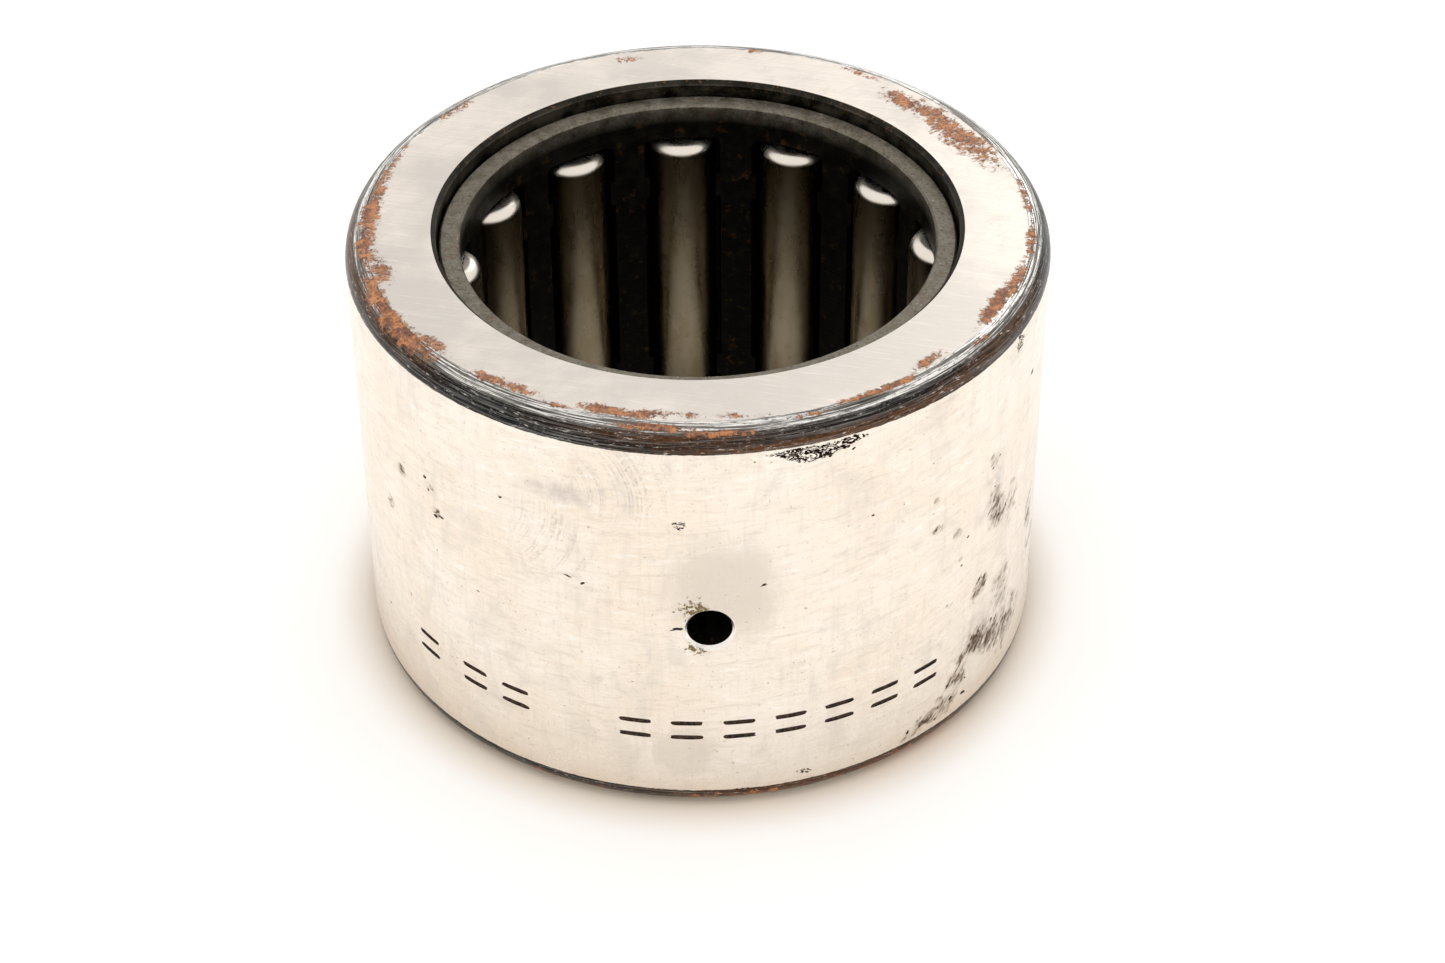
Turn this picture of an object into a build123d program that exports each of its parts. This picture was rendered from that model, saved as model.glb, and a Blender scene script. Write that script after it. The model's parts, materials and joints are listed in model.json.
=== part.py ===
from build123d import *
import math
import os

# Heavy-duty needle roller bearing without an inner ring: a channel-shaped outer
# ring with two solid ribs, a one-piece pierced cage and a single row of long
# cylindrical rollers that run directly on the shaft.
# The bearing axis is +Z and the origin is the centre of the bottom face.

INCH = 25.4

# Outer ring
OUTSIDE_DIAMETER = 1.5 * INCH
WIDTH = 1.0 * INCH
OUTER_CORNER_RADIUS = 1.2
RIB_BORE_DIAMETER = 28.3
RIB_BORE_CHAMFER = 0.25
RIB_THICKNESS = 3.05
RIB_INNER_CHAMFER = 0.2
RELIEF_WIDTH = 0.7
RELIEF_DEPTH = 0.25

# Oil hole, drilled radially at mid width on the -Y side
OIL_HOLE_DIAMETER = 3 / 32 * INCH
OIL_HOLE_CHAMFER = 0.12

# Rollers
ROLLER_COUNT = 13
ROLLER_DIAMETER = 5 / 32 * INCH
ROLLER_LENGTH = 0.75 * INCH
ROLLER_END_RADIUS = 0.7
ENVELOPE_DIAMETER = 15 / 16 * INCH
RACEWAY_CLEARANCE = 0.05
FIRST_ROLLER_ANGLE = 92.6

# Cage
CAGE_BORE_DIAMETER = 25.8
CAGE_OUTSIDE_DIAMETER = 28.0
CAGE_RECESS = 0.85
CAGE_EDGE_CHAMFER = 0.1
POCKET_WIDTH = 4.4
POCKET_END_CLEARANCE = 0.2
POCKET_CORNER_RADIUS = 0.5

# Retaining nibs, two along each side of every pocket, at the bore side
NIB_TIP_HALF_WIDTH = 1.93
NIB_TIP_RADIUS = 13.2
NIB_ROOT_RADIUS = 13.5
NIB_LENGTH = 1.4
NIB_OFFSET = 6.5

# Derived sizes
ROLLER_RADIUS = ROLLER_DIAMETER / 2
PITCH_RADIUS = ENVELOPE_DIAMETER / 2 + ROLLER_RADIUS
RACEWAY_RADIUS = PITCH_RADIUS + ROLLER_RADIUS + RACEWAY_CLEARANCE
OUTER_RADIUS = OUTSIDE_DIAMETER / 2
MID_HEIGHT = WIDTH / 2


def outer_ring():
    """Channel section turned about Z, with its oil hole."""
    bore = RIB_BORE_DIAMETER / 2
    half = [
        (bore + RIB_BORE_CHAMFER, 0),
        (bore, RIB_BORE_CHAMFER),
        (bore, RIB_THICKNESS - RIB_INNER_CHAMFER),
        (bore + RIB_INNER_CHAMFER, RIB_THICKNESS),
        (RACEWAY_RADIUS + RELIEF_DEPTH, RIB_THICKNESS),
        (RACEWAY_RADIUS + RELIEF_DEPTH, RIB_THICKNESS + RELIEF_WIDTH),
        (RACEWAY_RADIUS, RIB_THICKNESS + RELIEF_WIDTH + RELIEF_DEPTH),
    ]
    mirrored = [(radius, WIDTH - height) for radius, height in reversed(half)]
    outside = [(OUTER_RADIUS, WIDTH), (OUTER_RADIUS, 0)]
    section = make_face(Polyline(*half, *mirrored, *outside, close=True))
    corners = section.vertices().group_by(Axis.X)[-1]
    section = fillet(corners, OUTER_CORNER_RADIUS)
    ring = revolve(Plane.XZ * section, axis=Axis.Z)

    drill_plane = Plane(origin=(0, -OUTER_RADIUS, MID_HEIGHT), z_dir=(0, 1, 0))
    drill = drill_plane * Cylinder(OIL_HOLE_DIAMETER / 2, 2 * (OUTER_RADIUS - PITCH_RADIUS))
    countersink_height = OUTER_RADIUS - math.sqrt(OUTER_RADIUS**2 - (OIL_HOLE_DIAMETER / 2) ** 2)
    countersink_height += OIL_HOLE_CHAMFER
    countersink = Pos(0, 0, countersink_height / 2) * Cone(
        OIL_HOLE_DIAMETER / 2 + countersink_height,
        OIL_HOLE_DIAMETER / 2,
        countersink_height,
    )
    return ring - drill - drill_plane * countersink


def pocket_cutter():
    """The space of one pocket, its radial direction along +X, without its nibs."""
    cage_bore = CAGE_BORE_DIAMETER / 2
    cage_outside = CAGE_OUTSIDE_DIAMETER / 2
    pocket_length = ROLLER_LENGTH + 2 * POCKET_END_CLEARANCE
    depth = 2 * (cage_outside - cage_bore)
    centre = Pos((cage_bore + cage_outside) / 2, 0, MID_HEIGHT)
    cutter = centre * Box(depth, POCKET_WIDTH, pocket_length)
    cutter = fillet(cutter.edges().filter_by(Axis.X), POCKET_CORNER_RADIUS)

    half_width = POCKET_WIDTH / 2
    nib_outline = make_face(
        Polyline(
            (0, half_width),
            (0, NIB_TIP_HALF_WIDTH),
            (NIB_TIP_RADIUS, NIB_TIP_HALF_WIDTH),
            (NIB_ROOT_RADIUS, half_width),
            close=True,
        )
    )
    nib = extrude(nib_outline, NIB_LENGTH / 2, both=True)
    for height in (MID_HEIGHT - NIB_OFFSET, MID_HEIGHT + NIB_OFFSET):
        placed_nib = Pos(0, 0, height) * nib
        cutter -= placed_nib
        cutter -= mirror(placed_nib, Plane.XZ)
    return cutter


def cage():
    """Plain sleeve with one pocket for each roller."""
    length = WIDTH - 2 * CAGE_RECESS
    sleeve = Cylinder(CAGE_OUTSIDE_DIAMETER / 2, length) - Cylinder(CAGE_BORE_DIAMETER / 2, length)
    rim_edges = sleeve.edges().filter_by(GeomType.CIRCLE)
    sleeve = Pos(0, 0, MID_HEIGHT) * chamfer(rim_edges, CAGE_EDGE_CHAMFER)
    cutter = pocket_cutter()
    pockets = [Rot(0, 0, angle) * cutter for angle in roller_angles()]
    return sleeve - pockets


def roller():
    """One cylindrical roller with rounded ends, standing at the bearing's centre."""
    body = Cylinder(ROLLER_RADIUS, ROLLER_LENGTH)
    end_edges = body.edges().filter_by(GeomType.CIRCLE)
    return fillet(end_edges, ROLLER_END_RADIUS)


def roller_angles():
    """Angle of each roller about +Z, in degrees."""
    spacing = 360 / ROLLER_COUNT
    return [FIRST_ROLLER_ANGLE + index * spacing for index in range(ROLLER_COUNT)]


def main():
    os.makedirs("parts", exist_ok=True)
    export_step(outer_ring(), "parts/outer_ring.step")
    export_step(cage(), "parts/cage.step")
    plain_roller = roller()
    for number, angle in enumerate(roller_angles(), start=1):
        place = Rot(0, 0, angle) * Pos(PITCH_RADIUS, 0, MID_HEIGHT)
        export_step(place * plain_roller, f"parts/roller_{number:02d}.step")


main()
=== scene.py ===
import json
import math
import random

import bmesh
import bpy
import numpy as np
from mathutils import Matrix, Vector, noise


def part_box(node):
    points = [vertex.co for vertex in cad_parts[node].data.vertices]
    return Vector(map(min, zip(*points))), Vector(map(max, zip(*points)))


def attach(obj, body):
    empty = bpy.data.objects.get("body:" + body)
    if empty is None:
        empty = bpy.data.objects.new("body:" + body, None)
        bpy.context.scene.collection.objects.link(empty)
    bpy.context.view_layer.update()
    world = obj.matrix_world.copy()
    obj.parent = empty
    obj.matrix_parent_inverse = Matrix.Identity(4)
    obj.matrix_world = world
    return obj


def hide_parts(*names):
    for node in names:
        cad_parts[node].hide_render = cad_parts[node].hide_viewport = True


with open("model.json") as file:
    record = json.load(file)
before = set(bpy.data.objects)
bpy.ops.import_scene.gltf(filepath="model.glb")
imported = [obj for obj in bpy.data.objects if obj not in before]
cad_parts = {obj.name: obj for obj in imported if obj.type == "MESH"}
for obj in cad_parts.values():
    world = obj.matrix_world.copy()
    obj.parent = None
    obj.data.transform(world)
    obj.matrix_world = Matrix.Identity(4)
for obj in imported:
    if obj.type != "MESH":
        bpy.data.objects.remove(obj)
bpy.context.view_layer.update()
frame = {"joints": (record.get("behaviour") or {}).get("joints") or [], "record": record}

MM = 0.001

# Sizes that the frame gives
RING_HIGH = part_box("outer_ring")[1] / MM
CAGE_LOW, CAGE_HIGH = (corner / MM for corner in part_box("cage"))
ROLLER_LOW, ROLLER_HIGH = (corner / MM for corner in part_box("roller_01"))
OUTER_RADIUS = round(RING_HIGH.x, 2)
WIDTH = RING_HIGH.z
CAGE_RADIUS = round(CAGE_HIGH.x, 2)
ROLLER_RADIUS = round((ROLLER_HIGH.x - ROLLER_LOW.x) / 2, 3)
ROLLER_LENGTH = ROLLER_HIGH.z - ROLLER_LOW.z
MID_HEIGHT = WIDTH / 2
ROLLER_JOINTS = {joint["child"]: joint for joint in frame["joints"] if joint["child"] != "cage"}
OIL_HOLE = next(mount for mount in frame["record"]["mounts"] if mount["name"] == "oil_hole")
OIL_HOLE_RADIUS = OIL_HOLE["dims"]["r_mm"]

# The ring's section
CORNER_RADIUS = 1.2
CORNER_LENGTH = CORNER_RADIUS * math.pi / 2
FACE_EDGE_RADIUS = OUTER_RADIUS - CORNER_RADIUS
RIB_BORE_RADIUS = 14.15
RIB_CHAMFER = 0.25
RIB_THICKNESS = 3.05
RIB_INNER_CHAMFER = 0.2
RACEWAY_RADIUS = 15.925
RELIEF_WIDTH = 0.7
RELIEF_DEPTH = 0.25
HOLE_CHAMFER = 0.12

# The cage's and the rollers' sections
CAGE_BORE_RADIUS = 12.9
CAGE_CHAMFER = 0.1
POCKET_HALF_WIDTH = 2.2
POCKET_HALF_LENGTH = ROLLER_LENGTH / 2 + 0.2
POCKET_CORNER = 0.5
NIB_TIP = 1.93
NIB_RADII = (13.2, 13.5)
NIB_OFFSET = 6.5
NIB_HALF_LENGTH = 0.7
NIB_SLOPE = 0.1
CAGE_EDGE = 0.05
ROLLER_CORNER = 0.7

# Mesh steps, and columns round each turned piece
FINE_STEP = 0.05
SKIN_STEP = 0.3
PLAIN_STEP = 2.5
BASE_CORNER_STEP = 0.125
BASE_STEP = 1.2
POCKET_CORNER_STEP = 0.1
CAGE_STEP = 1.0
ROLLER_CORNER_STEP = 0.07
ROLLER_STEP = 1.2
RING_COLUMNS = 480
CAGE_COLUMNS = 312
ROLLER_COLUMNS = 96
HOLE_COLUMNS = 96
TABLE_COLUMNS = 96

# Edges sharper than this many degrees stay sharp
SHARP_EDGE = 35
ROLLER_SHARP_EDGE = 50
# The cage bevels edges sharper than this, in degrees
CAGE_BEVEL_EDGE = 50

# How far a cutter reaches past what it cuts
CUTTER_CLEARANCE = 0.1
POCKET_CLEARANCE = 1

# The ring's materials, by number
SKIN_MATERIAL = 0
BORE_MATERIAL = 1
PIT_MATERIAL = 2


# ---------------------------------------------------------------- mesh tools

def run(start, end, step):
    """Points along a straight run of an outline, without its last point."""
    count = max(1, round(math.dist(start, end) / step))
    return [tuple(Vector(start).lerp(Vector(end), i / count)) for i in range(count)]


def arc(centre, radius, first, last, step):
    """Points along an arc of an outline, between two angles in degrees, without its last point."""
    sweep = math.radians(last - first)
    count = max(2, round(abs(sweep) * radius / step))
    angles = [math.radians(first) + sweep * i / count for i in range(count)]
    return [(centre[0] + radius * math.cos(a), centre[1] + radius * math.sin(a)) for a in angles]


def outline_of(corners, step):
    """Straight runs through a list of corners, without the last corner."""
    return [point for start, end in zip(corners, corners[1:]) for point in run(start, end, step)]


def new_piece(name, mesh):
    """An object with that mesh, in the scene."""
    piece = bpy.data.objects.new(name, mesh)
    bpy.context.scene.collection.objects.link(piece)
    return piece


def lathe(name, outline, columns, capped=False):
    """Turns (radius, height) points about Z: a closed loop, or a run that gets flat ends."""
    section = np.array(outline)
    angles = np.arange(columns) * 2 * math.pi / columns
    rows = len(section)
    grid = np.empty((columns, rows, 3))
    grid[..., 0] = np.outer(np.cos(angles), section[:, 0])
    grid[..., 1] = np.outer(np.sin(angles), section[:, 0])
    grid[..., 2] = section[:, 1]
    index = np.arange(columns * rows).reshape(columns, rows)
    beside = np.roll(index, -1, axis=0)
    if capped:
        quads = np.stack([index[:, :-1], beside[:, :-1], beside[:, 1:], index[:, 1:]], -1)
    else:
        above = np.roll(index, -1, axis=1)
        quads = np.stack([index, beside, np.roll(beside, -1, axis=1), above], -1)
    faces = quads.reshape(-1, 4).tolist()
    if capped:
        faces += [index[::-1, 0].tolist(), index[:, -1].tolist()]
    mesh = bpy.data.meshes.new(name)
    mesh.from_pydata((grid.reshape(-1, 3) * MM).tolist(), [], faces)
    return new_piece(name, mesh)


def face_outward(piece):
    """Turns every face's front to the outside."""
    work = bmesh.new()
    work.from_mesh(piece.data)
    bmesh.ops.recalc_face_normals(work, faces=work.faces)
    work.to_mesh(piece.data)
    work.free()


def paint(piece, materials):
    """Adds the materials, in order."""
    for material in materials:
        piece.data.materials.append(material)


def cut(piece, cutter):
    """Takes the cutter out of the piece. The new faces keep the cutter's material number."""
    change = piece.modifiers.new("cut", "BOOLEAN")
    change.operation = "DIFFERENCE"
    change.solver = "MANIFOLD"
    change.object = cutter
    view = bpy.context.evaluated_depsgraph_get()
    mesh = bpy.data.meshes.new_from_object(piece.evaluated_get(view))
    piece.modifiers.clear()
    piece.data = mesh
    bpy.data.objects.remove(cutter)


def smooth(piece, sharp_degrees):
    """Shades the piece smooth, but for edges sharper than the angle."""
    piece.data.shade_smooth()
    piece.data.set_sharp_from_angle(angle=math.radians(sharp_degrees))


def points_of(piece):
    """The piece's points in millimetres, one row each."""
    flat = np.empty(len(piece.data.vertices) * 3)
    piece.data.vertices.foreach_get("co", flat)
    return flat.reshape(-1, 3) / MM


def set_points(piece, points):
    """Moves the piece's points to these places, in millimetres."""
    piece.data.vertices.foreach_set("co", (points * MM).ravel())
    piece.data.update()


def store(piece, name, values):
    """Keeps a number or a vector for each point, for a material to read."""
    kind, field = ("FLOAT", "value") if values.ndim == 1 else ("FLOAT_VECTOR", "vector")
    layer = piece.data.attributes.new(name, kind, "POINT")
    layer.data.foreach_set(field, values.astype(np.float32).ravel())


# ---------------------------------------------------------------- places on the ring

def azimuth_of(points):
    """Degrees round the axis from -Y, towards +X."""
    return np.degrees(np.arctan2(points[:, 0], -points[:, 1]))


def across_of(points):
    """Distance across the ring's outside section, from the nearer end face's outer edge."""
    radius = np.hypot(points[:, 0], points[:, 1])
    below = MID_HEIGHT - np.abs(points[:, 2] - MID_HEIGHT)
    on_side = CORNER_LENGTH + below - CORNER_RADIUS
    turn = np.arctan2(radius - FACE_EDGE_RADIUS, CORNER_RADIUS - below)
    on_corner = CORNER_RADIUS * turn
    on_face = radius - FACE_EDGE_RADIUS
    off_face = np.where(below > CORNER_RADIUS, on_side, on_corner)
    return np.where(radius < FACE_EDGE_RADIUS, on_face, off_face)


def on_outside(azimuth, height, radius=OUTER_RADIUS):
    """The point at that azimuth and height."""
    turn = math.radians(azimuth)
    return Vector((radius * math.sin(turn), -radius * math.cos(turn), height))


def patches(azimuths, along, places):
    """Sum of soft patches, each (azimuth, place, half width round, half width along, strength)."""
    total = np.zeros(len(azimuths))
    for azimuth, place, half_round, half_along, strength in places:
        turn = (azimuths - azimuth + 180) % 360 - 180
        arc_length = np.radians(turn) * OUTER_RADIUS
        distance = (arc_length / half_round) ** 2 + ((along - place) / half_along) ** 2
        total += strength * np.exp(-distance)
    return total


# Rust on the top face and corner: azimuth, across, half width round, half width across,
# strength
TOP_RUST = [
    (-131, -0.1, 1.36, 0.31, 0.8), (-112, 0, 2.04, 0.25, 0.7), (-100, -0.2, 2.04, 0.37, 1),
    (-93, 0.0, 1.5, 0.5, 1.0), (-84, 0.1, 1.5, 0.5, 1.0), (-76, -0.5, 1.36, 0.5, 1),
    (-70, 0.4, 2.3, 0.42, 0.9), (-58, 0.4, 3.0, 0.55, 1.1), (-52, -0.4, 1.1, 0.31, 0.9),
    (-39, -0.2, 1.19, 0.31, 1), (-33, -0.3, 1.36, 0.31, 1), (-25, 0, 0.77, 0.19, 0.7),
    (-18, -0.5, 1.02, 0.31, 1.1), (-13, -0.3, 1.7, 0.31, 1.1), (-9, -0.6, 0.94, 0.25, 1.1),
    (-2, -0.5, 0.77, 0.19, 1), (4, -0.4, 0.59, 0.19, 0.8), (-8, 0.45, 2.0, 0.22, 1.05),
    (2, 0.75, 2.0, 0.2, 0.8), (9, -0.2, 0.85, 0.18, 0.6), (16, 0.3, 1.19, 0.19, 0.7),
    (27, 0, 2.04, 0.19, 1.1), (33, 0, 1.27, 0.25, 1), (41, -0.4, 1.02, 0.31, 1.1),
    (50, 0.4, 1.53, 0.19, 0.7), (58, -0.3, 1.36, 0.31, 1.1), (63, -0.4, 1.53, 0.43, 1.2),
    (70, -0.1, 1.53, 0.31, 1), (82, 0.1, 1.87, 0.25, 0.8), (96, 0.1, 2.04, 0.25, 0.7),
    (111, -0.7, 2.2, 0.7, 0.70), (119, -1.4, 2.2, 0.9, 0.80), (127, -0.8, 2.0, 0.7, 0.65),
    (135, -1.2, 1.8, 0.6, 0.85), (146, -0.2, 1.87, 0.25, 0.6), (168, -0.1, 1.02, 0.19, 0.9),
    (-168, -0.7, 0.94, 0.31, 0.7),
]
# Rust on the bottom face and corner, in the same order
BOTTOM_RUST = [
    (38, 0.9, 5.0, 0.6, 0.9), (10, 1.3, 6.0, 0.4, 0.6), (-30, 1.2, 5.0, 0.3, 0.4),
    (75, 0.6, 3.0, 0.6, 0.8), (130, 0.3, 4.0, 0.7, 0.8), (175, 0.8, 5.0, 0.5, 0.7),
    (-140, 0.2, 4.0, 0.7, 0.9), (-85, 0.9, 3.0, 0.5, 0.6),
]
# Brown tinge on both blackened corners, in the same order
TINGE = [
    (-62, 0.9, 4.0, 0.5, 1.1), (-6, 1.0, 5.0, 0.4, 1.0), (8, 1.75, 6.0, 0.22, 1.0),
    (26, 1.6, 6.0, 0.3, 1.2), (-84, 0.9, 4.0, 0.6, 1.1), (60, 1.0, 4.0, 0.5, 0.9),
    (45, 1.4, 3.0, 0.4, 0.6), (-95, 1.0, 4.0, 0.6, 0.6), (120, 1.2, 6.0, 0.5, 0.7),
    (-150, 1.3, 6.0, 0.5, 0.6),
]
# Flaking on the outside, mostly by its corners: azimuth, height, half width round, half height,
# strength
FLAKES = [
    (12.0, 23.9, 1.0, 0.22, 0.9), (15.5, 23.55, 1.1, 0.42, 1.2), (19.5, 23.65, 0.9, 0.26, 1.1),
    (22.8, 23.95, 0.8, 0.22, 1.0), (60.5, 23.7, 0.5, 0.6, 1.0), (-4.5, 19.7, 0.34, 0.30, 1.0),
    (4.5, 0.95, 0.9, 0.3, 1.0), (15.5, 1.8, 0.5, 0.2, 0.9), (-28.0, 1.0, 0.8, 0.2, 0.7),
    (150, 22.6, 1.2, 0.4, 1.0), (-118, 23.2, 1.4, 0.35, 1.0), (-165, 1.6, 1.5, 0.4, 0.9),
    (98, 1.5, 1.2, 0.3, 0.9),
]
# Brown stains on the outside, in the same order
STAINS = [
    (53.4, 17.3, 0.5, 0.5, 0.9), (54.5, 14.3, 0.8, 1.2, 1.0), (56.0, 13.0, 0.7, 0.8, 1.0),
    (60.5, 12.8, 1.0, 1.5, 0.7), (51.3, 9.3, 0.6, 0.6, 1.2), (50.0, 8.7, 0.4, 0.3, 1.0),
    (39.8, 15.5, 0.45, 0.3, 1.1), (39.1, 17.5, 0.3, 0.2, 1.0), (44.3, 14.3, 0.4, 0.3, 0.9),
    (45.7, 12.2, 0.35, 0.3, 0.9), (43.0, 9.5, 0.3, 0.2, 0.8), (43.6, 8.2, 0.3, 0.2, 0.8),
    (50.5, 5.3, 0.9, 0.9, 1.3), (54.5, 4.6, 1.1, 1.0, 1.1), (46.8, 4.9, 0.5, 0.4, 1.0),
    (46.0, 3.7, 0.8, 0.6, 1.2), (42.8, 2.4, 1.0, 0.6, 1.3), (38.5, 2.0, 1.0, 0.4, 1.2),
    (35.5, 1.5, 0.8, 0.25, 0.9), (59.0, 7.5, 1.2, 1.6, 0.8), (62.0, 4.0, 1.6, 1.6, 1.0),
    (-57.5, 16.8, 0.4, 0.4, 1.0), (-49.3, 17.5, 0.35, 0.3, 0.9), (-48.2, 15.9, 0.3, 0.35, 0.9),
    (-62.6, 13.6, 0.4, 0.5, 0.8), (-58.0, 8.0, 0.3, 0.35, 0.9), (151, 18.4, 0.6, 1.6, 1.0),
    (147, 16.6, 0.9, 0.6, 0.9), (-125, 8.4, 0.7, 1.5, 1.0), (-121, 6.4, 1.2, 0.5, 0.9),
    (106, 21.0, 0.7, 1.0, 0.9), (102, 19.4, 1.0, 0.4, 0.8), (-165, 4.0, 2.6, 0.5, 1.0),
    (-158, 2.6, 1.4, 0.4, 0.9), (175, 20.5, 1.6, 0.4, 0.9), (-100, 19.0, 0.5, 1.2, 0.8),
    (72, 9.6, 0.8, 2.0, 0.8), (76, 6.8, 1.2, 0.7, 0.8), (83, 4.2, 2.4, 0.7, 0.9),
    (90, 2.4, 1.6, 0.5, 0.9), (126, 2.6, 3.0, 0.5, 1.0), (134, 4.0, 0.8, 0.8, 0.9),
    (-143, 20.4, 0.5, 1.3, 0.9), (-147, 18.6, 0.8, 0.4, 0.8),
]
# Soft grey smudges on the outside, in the same order
SMUDGES = [
    (-23.6, 20.8, 1.9, 0.75, 1.0), (-5.0, 23.2, 1.0, 0.7, 0.6), (30, 20.0, 3.0, 1.5, 0.3),
    (-35, 9.0, 3.0, 2.0, 0.3), (54, 14.5, 2.0, 4.0, 0.6), (50, 5.5, 3.0, 2.6, 0.7),
    (-48.8, 16.6, 1.0, 1.4, 0.5), (-15, 8.5, 5.0, 1.0, 0.3), (28, 9.0, 4.0, 1.5, 0.3),
    (100, 12.0, 5.0, 4.0, 0.6), (160, 9.0, 6.0, 3.0, 0.6), (-130, 14.0, 5.0, 4.0, 0.6),
    (-85, 8.0, 3.0, 3.0, 0.5), (-175, 18.0, 4.0, 2.0, 0.6),
]
# Groups of small pits on the outside: azimuth, height, spread round, spread along, count
PIT_GROUPS = [
    (16, 23.4, 1.8, 0.25, 5), (-4.4, 19.7, 0.35, 0.3, 3), (-34, 19.5, 0.15, 0.15, 1),
    (-21.0, 15.2, 0.3, 0.08, 1), (-48.8, 17.5, 0.4, 0.3, 2), (-48, 15.8, 0.3, 0.2, 2),
    (-38.5, 12.5, 0.2, 0.2, 1), (-67, 5.2, 0.2, 0.3, 1), (53, 17.0, 0.5, 0.5, 2),
    (54, 14.5, 0.8, 0.8, 3), (40, 15.4, 0.4, 0.2, 2), (45, 13.0, 0.6, 0.6, 2),
    (51, 9.2, 0.5, 0.6, 3), (50, 5.5, 0.8, 0.5, 3), (44, 3.0, 1.2, 0.6, 4),
    (37, 1.9, 0.8, 0.3, 2), (4, 15.6, 0.6, 0.5, 1), (150, 18.0, 1.2, 1.0, 6),
    (-125, 8.0, 1.2, 1.0, 6), (105, 20.5, 1.4, 1.0, 5), (-160, 4.0, 1.6, 0.7, 6),
    (0, 12.0, 40.0, 9.0, 8),
]
# Single nicks on the outside: azimuth, height, half length, half height, turn in degrees
NICKS = [
    (-5.1, 12.75, 0.34, 0.11, -12), (-22.6, 15.4, 0.20, 0.06, 15), (26.4, 18.5, 0.10, 0.07, 0),
]
# In place of the stamped row: pairs of short level dashes at these azimuths
STAMP_AZIMUTHS = [-52.8, -41.6, -33.2] + [-12.2 + 8.4 * i for i in range(7)]
STAMP_HEIGHT = 5.6
STAMP_LENGTH = 1.7
STAMP_STROKE = 0.3
STAMP_GAP = 1.0
STAMP_DEPTH = 0.11
STAMP_SQUARENESS = 2.5
STAMP_ROUGHNESS = 0.12
NICK_DEPTH = 0.05
NICK_ROUGHNESS = 0.8
# Pits, least and most: half height, how many times as long as high, and turn in degrees
PIT_SIZES = (0.05, 0.12)
PIT_STRETCHES = (1.0, 2.4)
PIT_TURNS = (-50, 20)
# A pit's cutter: half depth, and how far its middle stands proud of the outside
PIT_DEPTH = 0.06
PIT_RAISE = 0.015
PIT_ROUGHNESS = 0.9
PIT_GAP = 0.05
PIT_LOWEST = 0.6
PIT_HIGHEST = WIDTH - CORNER_RADIUS - 0.3
PIT_SEED = 7
# Turning grooves on the top corner, by their place across
GROOVES = (0.16, 0.38, 0.60, 0.78)
GROOVE_HALF_WIDTH = 0.055
GROOVE_DEPTH = 0.022
CHIP_DEPTH = 0.08


# ---------------------------------------------------------------- materials

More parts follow.
